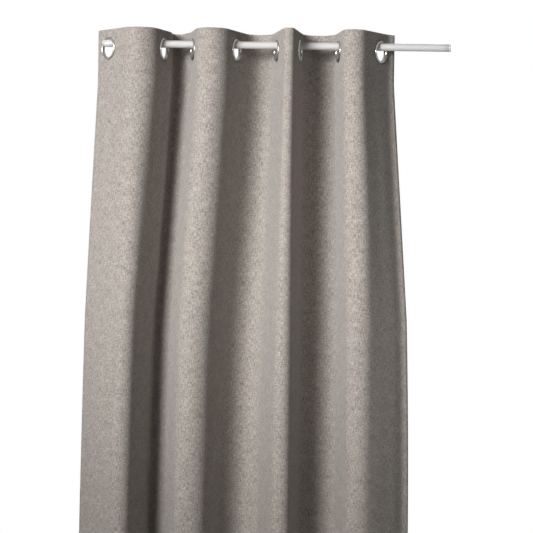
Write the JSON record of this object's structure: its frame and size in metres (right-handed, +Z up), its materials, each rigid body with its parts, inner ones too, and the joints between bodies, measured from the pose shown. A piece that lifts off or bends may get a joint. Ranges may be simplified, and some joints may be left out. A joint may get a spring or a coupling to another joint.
{
  "type": "eyelet curtain panel",
  "caption": "Pleated fabric curtain panel with metal eyelets, hung on a straight round rod and drawn along it.",
  "frame": {"origin": "centre of the rod's left end face, where the rod meets its left support", "axes": "+X along the rod to the right, +Y away from the room, +Z up"},
  "size_m": [0.7948, 0.1646, 2.5],
  "materials": {
    "rod": "satin white powder coat",
    "rod_end": "white moulded plastic",
    "eyelet": "satin nickel plate",
    "cloth": "heathered taupe weave"
  },
  "bodies": {
    "rod": {"rod_tube": "rod", "rod_plug_left": "rod_end", "rod_plug_right": "rod_end", "eyelet_front_1": "eyelet", "eyelet_back_1": "eyelet", "heading_1": "cloth", "drape_1": "cloth", "hem_1": "cloth", "side_hem_left": "cloth"},
    "fold_2": {"heading_2": "cloth", "drape_2": "cloth", "hem_2": "cloth"},
    "fold_3": {"heading_3": "cloth", "drape_3": "cloth", "hem_3": "cloth"},
    "fold_4": {"heading_4": "cloth", "drape_4": "cloth", "hem_4": "cloth"},
    "fold_5": {"heading_5": "cloth", "drape_5": "cloth", "hem_5": "cloth"},
    "fold_6": {"heading_6": "cloth", "drape_6": "cloth", "hem_6": "cloth"},
    "fold_7": {"heading_7": "cloth", "drape_7": "cloth", "hem_7": "cloth"},
    "fold_8": {"heading_8": "cloth", "drape_8": "cloth", "hem_8": "cloth", "side_hem_right": "cloth", "eyelet_front_8": "eyelet", "eyelet_back_8": "eyelet"},
    "eyelet_2": {"eyelet_front_2": "eyelet", "eyelet_back_2": "eyelet"},
    "eyelet_3": {"eyelet_front_3": "eyelet", "eyelet_back_3": "eyelet"},
    "eyelet_4": {"eyelet_front_4": "eyelet", "eyelet_back_4": "eyelet"},
    "eyelet_5": {"eyelet_front_5": "eyelet", "eyelet_back_5": "eyelet"},
    "eyelet_6": {"eyelet_front_6": "eyelet", "eyelet_back_6": "eyelet"},
    "eyelet_7": {"eyelet_front_7": "eyelet", "eyelet_back_7": "eyelet"}
  },
  "joints": [
    {"name": "draw", "type": "slide", "parent": "rod", "child": "fold_8", "axis": [1, 0, 0], "range_m": [-0.3, 0.1], "deforming": ["heading_8", "drape_8", "hem_8", "side_hem_right", "heading_1", "drape_1", "hem_1", "side_hem_left"]},
    {"name": "slide_2", "type": "slide", "parent": "rod", "child": "fold_2", "axis": [1, 0, 0], "range_m": [-0.0335, 0.0125], "deforming": ["heading_2", "drape_2", "hem_2"]},
    {"name": "swivel_2", "type": "hinge", "parent": "fold_2", "child": "eyelet_2", "pos_m": [0.1318, 0, -0.0111], "axis": [0, 0, 1], "range_deg": [-3.64, 9.93]},
    {"name": "slide_3", "type": "slide", "parent": "rod", "child": "fold_3", "axis": [1, 0, 0], "range_m": [-0.0714, 0.0251], "deforming": ["heading_3", "drape_3", "hem_3"]},
    {"name": "swivel_3", "type": "hinge", "parent": "fold_3", "child": "eyelet_3", "pos_m": [0.1972, 0, -0.0111], "axis": [0, 0, 1], "range_deg": [-7.65, 2.88]},
    {"name": "slide_4", "type": "slide", "parent": "rod", "child": "fold_4", "axis": [1, 0, 0], "range_m": [-0.1378, 0.0473], "deforming": ["heading_4", "drape_4", "hem_4"]},
    {"name": "swivel_4", "type": "hinge", "parent": "fold_4", "child": "eyelet_4", "pos_m": [0.2894, 0, -0.0111], "axis": [0, 0, 1], "range_deg": [-5.93, 16.79]},
    {"name": "slide_5", "type": "slide", "parent": "rod", "child": "fold_5", "axis": [1, 0, 0], "range_m": [-0.2052, 0.0698], "deforming": ["heading_5", "drape_5", "hem_5"]},
    {"name": "swivel_5", "type": "hinge", "parent": "fold_5", "child": "eyelet_5", "pos_m": [0.3791, 0, -0.0111], "axis": [0, 0, 1], "range_deg": [-8.35, 3.12]},
    {"name": "slide_6", "type": "slide", "parent": "rod", "child": "fold_6", "axis": [1, 0, 0], "range_m": [-0.2377, 0.0806], "deforming": ["heading_6", "drape_6", "hem_6"]},
    {"name": "swivel_6", "type": "hinge", "parent": "fold_6", "child": "eyelet_6", "pos_m": [0.4266, 0, -0.0111], "axis": [0, 0, 1], "range_deg": [-2.62, 6.85]},
    {"name": "slide_7", "type": "slide", "parent": "rod", "child": "fold_7", "axis": [1, 0, 0], "range_m": [-0.2833, 0.0958], "deforming": ["heading_7", "drape_7", "hem_7"]},
    {"name": "swivel_7", "type": "hinge", "parent": "fold_7", "child": "eyelet_7", "pos_m": [0.513, 0, -0.0111], "axis": [0, 0, 1], "range_deg": [-3.82, 1.61]}
  ],
  "couplings": [
    {"joint": "slide_2", "follows": "draw", "ratio": 0.1049},
    {"joint": "swivel_2", "follows": "draw", "rad_per_m": -0.5487},
    {"joint": "slide_3", "follows": "draw", "ratio": 0.2312},
    {"joint": "swivel_3", "follows": "draw", "rad_per_m": 0.4161},
    {"joint": "slide_4", "follows": "draw", "ratio": 0.4527},
    {"joint": "swivel_4", "follows": "draw", "rad_per_m": -0.9476},
    {"joint": "slide_5", "follows": "draw", "ratio": 0.6775},
    {"joint": "swivel_5", "follows": "draw", "rad_per_m": 0.4569},
    {"joint": "slide_6", "follows": "draw", "ratio": 0.7856},
    {"joint": "swivel_6", "follows": "draw", "rad_per_m": -0.3696},
    {"joint": "slide_7", "follows": "draw", "ratio": 0.9377},
    {"joint": "swivel_7", "follows": "draw", "rad_per_m": 0.1932}
  ]
}
